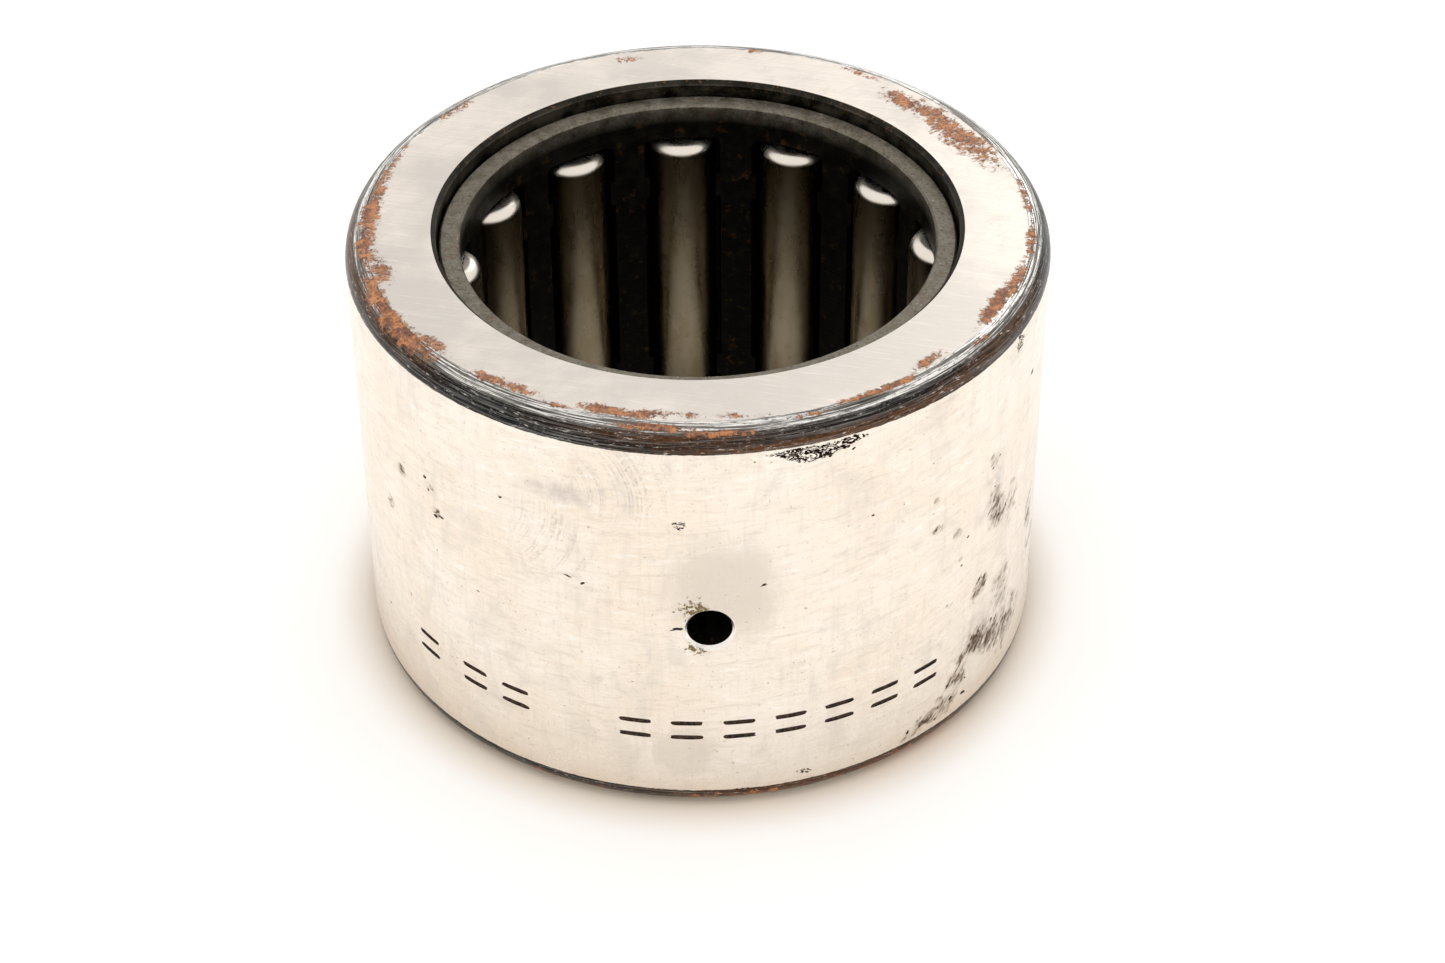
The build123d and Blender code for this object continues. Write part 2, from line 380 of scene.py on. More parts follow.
class Surface:
    """One material and its nodes. Most methods add a node and return its output."""

    def __init__(self, name):
        self.material = bpy.data.materials.new(name)
        self.material.use_nodes = True
        self.tree = self.material.node_tree
        self.shader = self.tree.nodes["Principled BSDF"]
        place = self.tree.nodes.new("ShaderNodeTexCoord").outputs["Object"]
        self.place = self.scaled(place, (1 / MM, 1 / MM, 1 / MM))

    def plug(self, socket, value):
        """Links an output to the socket, or sets a plain value on it."""
        if isinstance(value, bpy.types.NodeSocket):
            self.tree.links.new(value, socket)
        else:
            socket.default_value = value

    def add(self, kind, **inputs):
        """Adds a node with these inputs, and returns the node."""
        node = self.tree.nodes.new(kind)
        for name, value in inputs.items():
            self.plug(node.inputs[name], value)
        return node

    def stored(self, name, output="Fac"):
        """What store() kept for each point."""
        node = self.add("ShaderNodeAttribute")
        node.attribute_name = name
        return node.outputs[output]

    def vector_math(self, operation, vector, constant):
        node = self.add("ShaderNodeVectorMath")
        node.operation = operation
        self.plug(node.inputs[0], vector)
        node.inputs[1].default_value = constant
        return node

    def number_math(self, operation, *values):
        node = self.add("ShaderNodeMath")
        node.operation = operation
        for socket, value in zip(node.inputs, values):
            self.plug(socket, value)
        return node.outputs["Value"]

    def scaled(self, vector, factors):
        return self.vector_math("MULTIPLY", vector, factors).outputs["Vector"]

    def shifted(self, vector, offsets):
        return self.vector_math("ADD", vector, offsets).outputs["Vector"]

    def distance(self, vector, centre):
        return self.vector_math("DISTANCE", vector, centre).outputs["Value"]

    def from_axis(self):
        """The distance from the bearing's axis, in millimetres."""
        return self.distance(self.scaled(self.place, (1.0, 1.0, 0.0)), (0.0, 0.0, 0.0))

    def along(self, axis):
        """The place along one axis, in millimetres."""
        return self.add("ShaderNodeSeparateXYZ", Vector=self.place).outputs[axis]

    def noise(self, vector, scale, detail=4.0, roughness=0.55, distortion=0.0):
        node = self.add("ShaderNodeTexNoise", Vector=vector, Scale=scale, Detail=detail)
        self.plug(node.inputs["Roughness"], roughness)
        self.plug(node.inputs["Distortion"], distortion)
        return node.outputs["Fac"]

    def step(self, value, low, high, start=0.0, end=1.0):
        """Goes smoothly from start to end as the value goes from low to high."""
        ends = {"From Min": low, "From Max": high, "To Min": start, "To Max": end}
        node = self.add("ShaderNodeMapRange", Value=value, **ends)
        node.interpolation_type = "SMOOTHSTEP"
        return node.outputs[0]

    def sum(self, first, second, factor=1.0):
        """first + second * factor"""
        return self.number_math("MULTIPLY_ADD", second, factor, first)

    def times(self, first, second):
        return self.number_math("MULTIPLY", first, second)

    def highest(self, first, second):
        return self.number_math("MAXIMUM", first, second)

    def turned(self, vector, angles, factors):
        """The vector turned by three angles, in radians, and then stretched."""
        node = self.add("ShaderNodeMapping", Vector=vector, Rotation=angles)
        return self.scaled(node.outputs[0], factors)

    def combined(self, x, y):
        """A vector from two numbers, with 0 for its third."""
        return self.add("ShaderNodeCombineXYZ", X=x, Y=y).outputs[0]

    def mix(self, factor, first, second):
        """A colour between two colours or outputs."""
        return self.between("RGBA", "RGBA", factor, first, second)

    def tinted(self, colour, tint, value, low, high, most=1.0):
        """The colour, tinted more and more as the value goes from low to high."""
        return self.mix(self.step(value, low, high, 0.0, most), colour, tint)

    def blend(self, factor, first, second):
        """A number between two numbers or outputs."""
        return self.between("FLOAT", "VALUE", factor, first, second)

    def between(self, data_type, socket_type, factor, first, second):
        """A Mix node's output. Its sockets for other types have the same names."""
        node = self.add("ShaderNodeMix")
        node.data_type = data_type
        self.plug(node.inputs["Factor"], factor)
        for name, value in (("A", first), ("B", second)):
            socket = next(s for s in node.inputs if s.name == name and s.type == socket_type)
            self.plug(socket, (*value, 1.0) if isinstance(value, tuple) else value)
        return next(s for s in node.outputs if s.type == socket_type)

    def bump(self, height, distance):
        """Height 1 stands this many millimetres proud."""
        node = self.add("ShaderNodeBump", Height=height, Distance=distance * MM, Strength=1.0)
        return node.outputs["Normal"]

    def finish(self, colour, metallic, roughness, normal):
        """Plugs the shader in, and returns the material."""
        self.plug(self.shader.inputs["Base Color"], colour)
        self.plug(self.shader.inputs["Metallic"], metallic)
        self.plug(self.shader.inputs["Roughness"], roughness)
        self.plug(self.shader.inputs["Normal"], normal)
        return self.material


# The ring's colours
CREAM_STEEL = (0.90, 0.83, 0.745)
PEACH_STEEL = (0.88, 0.775, 0.66)
STROKE_GREY = (0.66, 0.59, 0.505)
PALE_STEEL = (0.97, 0.93, 0.88)
GREY_STEEL = (0.62, 0.585, 0.55)
FACE_STEEL = (0.83, 0.76, 0.69)
FACE_SHADE = (0.675, 0.63, 0.58)
SMUDGE_GREY = (0.47, 0.435, 0.40)
HALO_GREY = (0.69, 0.62, 0.54)
# Random tan tone, and painted shade towards the bottom of the outside
TAN_TONE_AND_LOW_SHADE = (0.70, 0.62, 0.535)
SILVER = (0.92, 0.90, 0.87)
TARNISH = (0.16, 0.15, 0.135)
BLACK_OXIDE = (0.010, 0.011, 0.012)
WORN_OXIDE = (0.22, 0.215, 0.20)
BROWN_OXIDE = (0.105, 0.047, 0.021)
RUST_LIGHT = (0.52, 0.22, 0.085)
RUST_DARK = (0.21, 0.080, 0.040)
RUST_BLACK = (0.050, 0.028, 0.022)
FLAKE_BLACK = (0.016, 0.009, 0.005)
STAIN_BROWN = (0.125, 0.072, 0.042)
STAIN_TAN = (0.40, 0.33, 0.26)
DRIED_OIL = (0.17, 0.12, 0.045)
OIL_BLACK = (0.012, 0.011, 0.008)
OILED_STEEL = (0.090, 0.082, 0.062)
AMBER_OIL = (0.16, 0.075, 0.025)
# The cage's colours
CAGE_OIL_DARK = (0.006, 0.0055, 0.004)
CAGE_OIL_LIGHT = (0.018, 0.015, 0.010)
CAGE_GREY_DARK = (0.145, 0.128, 0.095)
CAGE_GREY_LIGHT = (0.27, 0.245, 0.205)
CAGE_GRIME = (0.035, 0.026, 0.013)
CAGE_BRIGHT = (0.62, 0.58, 0.50)
# The rollers' colours
ROLLER_OIL_DARK = (0.43, 0.345, 0.215)
ROLLER_OIL_LIGHT = (0.575, 0.485, 0.345)
ROLLER_SPOT = (0.16, 0.105, 0.05)
# Painted shade towards the rollers' ends
ROLLER_PAINTED_END_SHADE = (0.15, 0.115, 0.07)
# Painted shade on the rollers' sides
ROLLER_PAINTED_SIDE_SHADE = (0.05, 0.038, 0.022)
ROLLER_CLEAN = (0.82, 0.76, 0.68)
# The table's colours
TABLE_SHADE = (0.95, 0.945, 0.94)
TABLE_WHITE = (0.965, 0.96, 0.955)
# Warm shadow painted on the table round the bearing's base
TABLE_PAINTED_SHADOW = (0.84, 0.73, 0.60)


def around_hole(s, colour, wipes, dust):
    """The oil hole's bright rim, the grey halo above it and the dried oil on its left."""
    reach = s.distance(s.place, (0.0, -OUTER_RADIUS, MID_HEIGHT))
    squat = s.scaled(s.place, (1.0, 1.0, 0.88))
    dome = s.distance(squat, (0.7, -OUTER_RADIUS, 0.88 * (MID_HEIGHT + 2.6)))
    ragged = s.sum(wipes, dust, 0.35)
    halo = s.step(s.sum(dome, ragged, 3.4), 3.7, 6.2, 0.88, 0.0)
    colour = s.mix(halo, colour, HALO_GREY)
    tongue = s.distance(squat, (-1.3, -OUTER_RADIUS, 0.88 * 4.0))
    colour = s.mix(s.step(s.sum(tongue, ragged, 2.4), 2.9, 3.3, 0.6, 0.0), colour, HALO_GREY)
    above = s.step(s.distance(s.place, (-0.8, -OUTER_RADIUS, MID_HEIGHT + 1.3)), 0.4, 1.3, 1.0, 0.0)
    below = s.step(s.distance(s.place, (-0.7, -OUTER_RADIUS, MID_HEIGHT - 1.3)), 0.2, 1.0, 1.0, 0.0)
    dried = s.step(s.sum(dust, s.highest(above, below), 0.20), 0.65, 0.72, 0.0, 0.95)
    colour = s.mix(dried, colour, DRIED_OIL)
    rim_start = s.step(reach, OIL_HOLE_RADIUS - 0.03, OIL_HOLE_RADIUS)
    rim_end = s.step(reach, OIL_HOLE_RADIUS + 0.13, OIL_HOLE_RADIUS + 0.18, 1.0, 0.0)
    rim = s.times(rim_start, rim_end)
    return s.mix(s.times(rim, s.step(dust, 0.3, 0.6, 0.35, 0.8)), colour, SILVER)


def hairlines(s, clouds, wipes, dust):
    """Fine scratches: arcs wiped round two places on the left, and two sets of straight ones."""
    total = 0.0
    for centre, middle, reach in (
        ((-8.6, -17.0, 20.8), (-4.6, -18.5, 22.0), 3.2),
        ((-12.4, -14.5, 19.5), (-8.2, -17.2, 17.6), 3.0),
    ):
        radius = s.sum(s.times(s.distance(s.place, centre), 8.0), clouds, 3.0)
        arcs = s.noise(s.combined(radius, s.times(clouds, 3.0)), 1.0, 2.0)
        near = s.step(s.distance(s.place, middle), 0.4 * reach, reach, 1.0, 0.0)
        arcs = s.times(s.step(arcs, 0.50, 0.62), s.times(near, s.step(dust, 0.38, 0.58)))
        total = s.sum(total, arcs, 0.8)
    for turn in ((0.0, 0.5, 0.3), (0.2, -0.9, 1.2)):
        hairs = s.noise(s.turned(s.place, turn, (0.25, 9.0, 9.0)), 1.0, 2.0)
        hairs = s.times(s.step(hairs, 0.67, 0.73), s.step(wipes, 0.48, 0.58))
        total = s.sum(total, hairs, 0.45)
    return total


def bare_steel(s, on_face):
    """Ground steel on the outside and the faces: its colour, its wiped streaks and its relief."""
    clouds = s.noise(s.place, 0.15, 6.0, 0.6)
    wipes = s.noise(s.scaled(s.place, (1.0, 1.0, 0.6)), 0.55, 6.0, 0.6, 0.8)
    dust = s.noise(s.place, 4.5, 5.0, 0.7)
    strokes = s.noise(s.turned(s.place, (0.0, 0.08, 0.0), (0.55, 0.55, 3.0)), 1.0, 7.0, 0.66, 0.7)
    brushed = s.noise(s.turned(s.place, (0.0, -0.05, 0.0), (1.5, 1.5, 13.0)), 1.0, 3.0, 0.6, 0.4)
    side = s.tinted(PEACH_STEEL, CREAM_STEEL, clouds, 0.36, 0.64)
    side = s.tinted(side, STROKE_GREY, strokes, 0.50, 0.70, 0.52)
    side = s.tinted(side, PALE_STEEL, strokes, 0.46, 0.32, 0.60)
    side = s.tinted(side, STROKE_GREY, brushed, 0.52, 0.66, 0.20)
    drawn = s.noise(s.scaled(s.place, (3.0, 3.0, 0.3)), 1.0, 5.0, 0.65)
    side = s.tinted(side, TAN_TONE_AND_LOW_SHADE, drawn, 0.50, 0.70, 0.32)
    side = s.tinted(side, GREY_STEEL, wipes, 0.50, 0.72, 0.35)
    side = s.tinted(side, STROKE_GREY, dust, 0.52, 0.70, 0.34)
    # Painted shade: darker and tanner towards the bottom of the outside, for the table's shadow
    # that it reflects there
    low = s.sum(s.along("Z"), wipes, -8.0)
    side = s.tinted(side, TAN_TONE_AND_LOW_SHADE, low, 5.0, -2.5, 0.42)
    smudge = s.times(s.stored("smudge"), s.step(wipes, 0.25, 0.7))
    side = s.tinted(side, SMUDGE_GREY, smudge, 0.05, 0.75, 0.6)
    side = around_hole(s, side, wipes, dust)

    grain = s.noise(s.turned(s.place, (0.0, 0.0, 0.25), (0.25, 10.0, 1.0)), 1.0, 5.0, 0.65)
    cross = s.noise(s.turned(s.place, (0.0, 0.0, -0.6), (0.5, 7.0, 1.0)), 1.0, 4.0, 0.6)
    # Painted light: the face is lighter towards the back and the right, over its mottled tone
    mottle_and_painted_light = s.sum(s.sum(clouds, s.along("Y"), 0.006), s.along("X"), 0.002)
    face = s.tinted(FACE_SHADE, FACE_STEEL, mottle_and_painted_light, 0.40, 0.62)
    face = s.tinted(face, FACE_SHADE, grain, 0.48, 0.66, 0.42)
    face = s.tinted(face, PALE_STEEL, grain, 0.44, 0.32, 0.40)
    face = s.tinted(face, STROKE_GREY, cross, 0.54, 0.70, 0.40)
    face = s.tinted(face, FACE_SHADE, wipes, 0.50, 0.70, 0.55)
    face = s.tinted(face, SMUDGE_GREY, dust, 0.66, 0.72, 0.5)
    steel = s.mix(on_face, side, face)

    scratches = hairlines(s, clouds, wipes, dust)
    steel = s.mix(s.times(scratches, 0.6), steel, SMUDGE_GREY)
    relief = s.sum(s.times(s.times(on_face, grain), 0.25), scratches, -0.3)
    relief = s.sum(relief, brushed, 0.18)
    return steel, wipes, s.sum(relief, dust, 0.12)


def corner_metal(s, wrap, edge):
    """The rounded corner: silver turned ridges by the face, then scratched black oxide.

    Returns its colour, where the oxide is, and its relief.
    """
    lines = s.noise(s.scaled(wrap, (0.16, 0.16, 9.0)), 1.0, 4.0, 0.6)
    hairs = s.noise(s.scaled(wrap, (0.30, 0.30, 22.0)), 1.0, 3.0, 0.6)
    flecks = s.noise(s.scaled(wrap, (1.8, 1.8, 8.0)), 1.0, 6.0, 0.72)
    scuffs = s.noise(s.scaled(wrap, (7.0, 7.0, 3.0)), 1.0, 4.0, 0.7)
    silver = s.tinted(TARNISH, SILVER, lines, 0.45, 0.54)
    silver = s.tinted(silver, BLACK_OXIDE, hairs, 0.53, 0.61, 0.9)
    silver = s.tinted(silver, TARNISH, flecks, 0.52, 0.62, 0.85)
    oxide = s.tinted(BLACK_OXIDE, WORN_OXIDE, lines, 0.48, 0.64, 0.45)
    oxide = s.mix(s.times(s.stored("tinge"), s.step(flecks, 0.34, 0.56)), oxide, BROWN_OXIDE)
    oxide = s.tinted(oxide, WORN_OXIDE, hairs, 0.54, 0.64, 0.75)
    oxide = s.tinted(oxide, WORN_OXIDE, scuffs, 0.58, 0.70, 0.45)
    oxide = s.tinted(oxide, GREY_STEEL, flecks, 0.58, 0.67, 0.9)
    on_oxide = s.step(s.sum(edge, s.sum(lines, -0.5), 0.9), 0.74, 0.80)
    colour = s.mix(on_oxide, silver, oxide)
    return colour, on_oxide, s.sum(s.sum(lines, hairs, 0.6), scuffs, 0.3)


def flaking_on(s, scatter):
    """Curled black cracks where the surface has flaked, from 0 to 1."""
    flake = s.stored("flake")
    warped = s.scaled(s.place, (1.0, 1.0, 2.0))
    curls = s.noise(warped, 1.3, 2.0, 0.5, 2.6)
    worms = s.times(s.step(curls, 0.40, 0.42), s.step(curls, 0.56, 0.58, 1.0, 0.0))
    level = s.sum(s.sum(s.times(flake, 0.45), worms, 0.60), scatter, 0.55)
    return s.times(s.step(level, 1.06, 1.10), s.step(flake, 0.10, 0.25))


def stains_on(s, scatter):
    """Brown staining in slanted strokes, from 0 to 1, and its soft surround."""
    placed = s.stored("stain")
    level_turn = s.turned(s.place, (0.0, 0.0, math.radians(-50)), (1.0, 1.0, 1.0))
    slanted = s.turned(level_turn, (0.0, math.radians(45), 0.0), (0.55, 1.0, 1.9))
    strokes = s.noise(slanted, 1.9, 6.0, 0.66, 0.5)
    patchy = s.sum(s.noise(s.scaled(s.place, (1.0, 1.0, 1.4)), 0.7, 5.0, 0.6, 0.6), -0.5)
    stain = s.times(s.sum(placed, patchy, 2.0), s.step(placed, 0.02, 0.30))
    level = s.sum(s.sum(s.times(stain, 0.24), strokes, 1.3), scatter, 0.45)
    gate = s.step(stain, 0.15, 0.60)
    core = s.times(s.step(level, 1.06, 1.24, 0.0, 0.95), gate)
    around = s.times(s.step(level, 0.84, 1.14, 0.0, 0.75), gate)
    return core, around


def ring_skin():
    """Ground faces and outside, the blackened corner between them, and the rust over both."""
    s = Surface("ring_skin")
    across = s.stored("across")
    wrap = s.stored("wrap", "Vector")
    on_face = s.step(across, -0.02, 0.02, 1.0, 0.0)
    colour, wipes, relief = bare_steel(s, on_face)

    waver = s.noise(s.scaled(wrap, (1.4, 1.4, 0.0)), 1.0, 6.0, 0.7)
    edge = s.sum(across, s.sum(waver, -0.5), 0.16)
    corner, on_oxide, corner_relief = corner_metal(s, wrap, edge)
    past_edge = s.step(edge, CORNER_LENGTH - 0.02, CORNER_LENGTH + 0.02, 1.0, 0.0)
    on_corner = s.times(s.step(edge, -0.05, 0.03), past_edge)
    colour = s.mix(on_corner, colour, corner)

    # Flaking and stains on the outside
    scatter = s.noise(s.place, 3.0, 5.0, 0.7)
    flaking = flaking_on(s, scatter)
    stained, around = stains_on(s, scatter)
    colour = s.mix(around, colour, STAIN_TAN)
    stain_colour = s.tinted(STAIN_BROWN, FLAKE_BLACK, scatter, 0.52, 0.64)
    colour = s.mix(stained, colour, stain_colour)
    colour = s.mix(flaking, colour, FLAKE_BLACK)

    # Rust, with a ragged fringe that reaches inward across the face
    fringe = s.noise(s.scaled(wrap, (2.4, 2.4, 1.4)), 1.0, 7.0, 0.78, 0.4)
    blotch = s.noise(s.place, 1.3, 6.0, 0.7)
    crumb = s.noise(s.place, 5.0, 6.0, 0.75)
    placed = s.stored("rust")
    level = s.sum(s.sum(s.sum(placed, fringe, 3.0), blotch, 2.4), crumb, 2.2)
    rust = s.times(s.step(level, 4.22, 4.50, 0.0, 0.94), s.step(placed, 0.06, 0.30))
    rust_colour = s.tinted(RUST_DARK, RUST_LIGHT, blotch, 0.42, 0.60)
    rust_colour = s.tinted(rust_colour, RUST_DARK, fringe, 0.50, 0.66, 0.6)
    rust_colour = s.tinted(rust_colour, RUST_BLACK, crumb, 0.52, 0.60, 0.85)
    tint = s.times(s.step(level, 3.9, 4.4, 0.0, 0.45), s.step(placed, 0.15, 0.6))
    colour = s.mix(tint, colour, RUST_DARK)
    colour = s.mix(rust, colour, rust_colour)

    covered = s.highest(rust, s.times(s.highest(flaking, stained), 0.6))
    metallic = s.step(rust, 0.0, 1.0, 1.0, 0.0)
    polish = s.blend(on_face, s.step(wipes, 0.3, 0.8, 0.22, 0.38), 0.34)
    rough = s.blend(on_corner, polish, s.blend(on_oxide, 0.22, 0.34))
    rough = s.blend(covered, rough, 0.85)
    relief = s.sum(relief, s.times(on_corner, corner_relief), 0.5)
    relief = s.sum(relief, s.times(rust, crumb), 1.2)
    relief = s.sum(relief, flaking, -0.8)
    return s.finish(colour, metallic, rough, s.bump(relief, 0.02))


def ring_bore():
    """Oily rib bores, and their darker chamfers and raceway, with brown dried oil."""
    s = Surface("ring_bore")
    film = s.noise(s.place, 0.9, 5.0, 0.6)
    specks = s.noise(s.place, 5.0, 3.0, 0.6)
    turned = s.noise(s.scaled(s.place, (0.3, 0.3, 8.0)), 1.0, 3.0)
    colour = s.tinted(OIL_BLACK, OILED_STEEL, film, 0.35, 0.65)
    colour = s.tinted(colour, OIL_BLACK, turned, 0.5, 0.7, 0.5)
    reach = s.from_axis()
    past_bore = s.step(reach, RIB_BORE_RADIUS + 0.01, RIB_BORE_RADIUS + 0.06, 0.0, 0.7)
    colour = s.mix(past_bore, colour, OIL_BLACK)
    colour = s.tinted(colour, AMBER_OIL, specks, 0.60, 0.68, 0.9)
    rough = s.step(film, 0.3, 0.7, 0.30, 0.5)
    relief = s.sum(turned, specks, 0.6)
    return s.finish(colour, 0.9, rough, s.bump(relief, 0.02))


def pit_floor():
    """Blackened bottoms of the pits, the nicks and the dashes."""
    s = Surface("pit_floor")
    crumb = s.noise(s.place, 6.0, 4.0, 0.6)
    colour = s.tinted(BLACK_OXIDE, STAIN_BROWN, crumb, 0.35, 0.65)
    return s.finish(colour, 0.6, s.step(crumb, 0.3, 0.7, 0.55, 0.8), s.bump(crumb, 0.03))


def cage_skin():
    """Pressed cage under black oil, greyer where its ends are wiped clean."""
    s = Surface("cage_skin")
    film = s.noise(s.place, 1.3, 5.0, 0.6)
    specks = s.noise(s.place, 5.5, 5.0, 0.7)
    turned = s.noise(s.scaled(s.place, (0.5, 0.5, 7.0)), 1.0, 3.0)
    oily = s.tinted(CAGE_OIL_DARK, CAGE_OIL_LIGHT, film, 0.40, 0.72)
    clean = s.tinted(CAGE_GREY_DARK, CAGE_GREY_LIGHT, film, 0.3, 0.7)
    clean = s.tinted(clean, CAGE_GRIME, specks, 0.50, 0.66, 0.6)
    clean = s.tinted(clean, CAGE_BRIGHT, specks, 0.38, 0.31, 0.8)
    colour = s.mix(s.stored("cage_end"), oily, clean)
    amber = s.noise(s.shifted(s.place, (31.0, 7.0, 3.0)), 1.4, 5.0, 0.65)
    colour = s.tinted(colour, AMBER_OIL, amber, 0.57, 0.70, 0.42)
    rough = s.step(film, 0.3, 0.7, 0.45, 0.65)
    return s.finish(colour, 0.95, rough, s.bump(s.sum(turned, specks, 0.8), 0.02))


def roller_skin():
    """Lapped roller steel: clean at the rounded ends, with oil film between them, and painted shade
    towards both ends and on the sides.
    """
    s = Surface("roller_skin")
    film = s.noise(s.scaled(s.place, (1.0, 1.0, 0.3)), 0.9, 5.0, 0.55)
    spots = s.noise(s.place, 1.5, 4.0, 0.6)
    turned = s.noise(s.scaled(s.place, (0.6, 0.6, 9.0)), 1.0, 2.0)
    oil_film_and_painted_shade = s.tinted(ROLLER_OIL_DARK, ROLLER_OIL_LIGHT, film, 0.32, 0.68)
    oil_film_and_painted_shade = s.tinted(oil_film_and_painted_shade, ROLLER_SPOT, spots, 0.52, 0.78, 0.35)
    # Painted shade: darker towards both ends, standing in for the shade under the ribs
    from_middle = s.distance(s.scaled(s.place, (0.0, 0.0, 1.0)), (0.0, 0.0, MID_HEIGHT))
    oil_film_and_painted_shade = s.tinted(oil_film_and_painted_shade, ROLLER_PAINTED_END_SHADE, from_middle, 2.5, 8.5, 0.72)
    # Painted shade: the sides are darkest, where they turn away into the cage's pockets
    facing = s.sum(s.stored("facing"), s.sum(film, -0.5), 0.12)
    oil_film_and_painted_shade = s.mix(s.step(facing, 0.60, 0.94, 0.84, 0.0), oil_film_and_painted_shade, ROLLER_PAINTED_SIDE_SHADE)
    colour = s.mix(s.stored("roller_end"), oil_film_and_painted_shade, ROLLER_CLEAN)
    rough = s.step(film, 0.3, 0.7, 0.24, 0.32)
    return s.finish(colour, 1.0, rough, s.bump(s.sum(turned, spots, 0.3), 0.0008))


def table_top():
    """Plain white table, with the faintest grain, and a warm shadow painted round the bearing."""
    s = Surface("table_top")
    grain = s.noise(s.place, 0.08, 3.0)
    colour = s.tinted(TABLE_SHADE, TABLE_WHITE, grain, 0.3, 0.7)
    reach = s.from_axis()
    outside = s.step(reach, OUTER_RADIUS - 1, OUTER_RADIUS + 2.8, 1.0, 0.0)
    # Painted shadow: a warm tan ring on the table round the bearing's base
    painted_shadow = s.times(outside, s.step(reach, CAGE_BORE_RADIUS - 2, OUTER_RADIUS - 1))
    colour = s.mix(painted_shadow, colour, TABLE_PAINTED_SHADOW)
    return s.finish(colour, 0.0, 0.9, s.bump(grain, 0.01))


# ---------------------------------------------------------------- pieces

def ring_section():
    """The ring's section, from the top face outwards and round."""
    top = run((RIB_BORE_RADIUS + RIB_CHAMFER, WIDTH), (FACE_EDGE_RADIUS, WIDTH), SKIN_STEP)
    top += arc((FACE_EDGE_RADIUS, WIDTH - CORNER_RADIUS), CORNER_RADIUS, 90, 0, FINE_STEP)
    side = run((OUTER_RADIUS, WIDTH - CORNER_RADIUS), (OUTER_RADIUS, CORNER_RADIUS), SKIN_STEP)
    base = arc((FACE_EDGE_RADIUS, CORNER_RADIUS), CORNER_RADIUS, 0, -90, BASE_CORNER_STEP)
    base += run((FACE_EDGE_RADIUS, 0), (RIB_BORE_RADIUS + RIB_CHAMFER, 0), BASE_STEP)
    lower = [
        (RIB_BORE_RADIUS + RIB_CHAMFER, 0),
        (RIB_BORE_RADIUS, RIB_CHAMFER),
        (RIB_BORE_RADIUS, RIB_THICKNESS - RIB_INNER_CHAMFER),
        (RIB_BORE_RADIUS + RIB_INNER_CHAMFER, RIB_THICKNESS),
        (RACEWAY_RADIUS + RELIEF_DEPTH, RIB_THICKNESS),
        (RACEWAY_RADIUS + RELIEF_DEPTH, RIB_THICKNESS + RELIEF_WIDTH),
        (RACEWAY_RADIUS, RIB_THICKNESS + RELIEF_WIDTH + RELIEF_DEPTH),
    ]
    upper = [(radius, WIDTH - height) for radius, height in reversed(lower)]
    return top + side + base + outline_of(lower + upper, PLAIN_STEP)


def oil_hole_cutter():
    """A drill with a small countersink: the countersink is bright steel, and the bore dark."""
    sink = OUTER_RADIUS - math.sqrt(OUTER_RADIUS**2 - OIL_HOLE_RADIUS**2) + HOLE_CHAMFER
    inner = (OIL_HOLE_RADIUS, OUTER_RADIUS - sink)
    outer = (OIL_HOLE_RADIUS + sink, OUTER_RADIUS)
    outline = [(OIL_HOLE_RADIUS, RIB_BORE_RADIUS)]
    outline += run(inner, outer, SKIN_STEP)
    outline += [(outer[0] + CUTTER_CLEARANCE, outer[1] + CUTTER_CLEARANCE)]
    drill = lathe("drill", outline, HOLE_COLUMNS, capped=True)
    for polygon in drill.data.polygons:
        in_sink = polygon.center.z > (OUTER_RADIUS - sink) * MM
        polygon.material_index = SKIN_MATERIAL if in_sink else BORE_MATERIAL
    drill.data.transform(Matrix.Rotation(math.radians(90), 4, "X"))
    drill.data.transform(Matrix.Translation((0, 0, MID_HEIGHT * MM)))
    return drill


def dent_cutter(dents, detail, squareness=1.0):
    """Small cutters sunk in the outside: (azimuth, height, radius, half sizes, turn, roughness).

    A squareness above 1 makes them rounded bars instead of ovals.
    """
    work = bmesh.new()
    for azimuth, height, radius, sizes, turn, roughness in dents:
        made = bmesh.ops.create_icosphere(work, subdivisions=detail, radius=1.0)
        centre = on_outside(azimuth, height, radius)
        about_axis = Matrix.Rotation(math.radians(azimuth), 3, "Z")
        placed = about_axis @ Matrix.Rotation(math.radians(turn), 3, "Y")
        power = 1 / squareness
        for point in made["verts"]:
            shape = Vector([math.copysign(abs(value) ** power, value) for value in point.co])
            bulge = 1 + roughness * noise.noise(shape * 1.7 + centre * 3)
            local = Vector([size * value * bulge for size, value in zip(sizes, shape)])
            point.co = (centre + placed @ local) * MM
    mesh = bpy.data.meshes.new("dents")
    work.to_mesh(mesh)
    work.free()
    for polygon in mesh.polygons:
        polygon.material_index = PIT_MATERIAL
    return new_piece("dents", mesh)


def pits():
    """Scattered pits that keep clear of each other."""
    scatter = random.Random(PIT_SEED)
    chosen = []
    for azimuth, height, spread_round, spread_along, count in PIT_GROUPS:
        for _ in range(count):
            size = scatter.uniform(*PIT_SIZES)
            stretch = scatter.uniform(*PIT_STRETCHES)
            turned = azimuth + math.degrees(scatter.gauss(0, spread_round) / OUTER_RADIUS)
            level = height + scatter.gauss(0, spread_along)
            turn = scatter.uniform(*PIT_TURNS)
            place = on_outside(turned, level)
            inside = PIT_LOWEST < level < PIT_HIGHEST
            clear = all(
                (place - other).length > size * stretch + reach
                for other, reach in chosen_places(chosen)
            )
            if inside and clear:
                sizes = (size * stretch, PIT_DEPTH, size)
                middle = OUTER_RADIUS + PIT_RAISE
                chosen.append((turned, level, middle, sizes, turn, PIT_ROUGHNESS))
    return chosen


def chosen_places(chosen):
    """Each chosen pit's place, and how far other pits keep from it."""
    return [
        (on_outside(azimuth, level), sizes[0] + PIT_GAP)
        for azimuth, level, _, sizes, _, _ in chosen
    ]


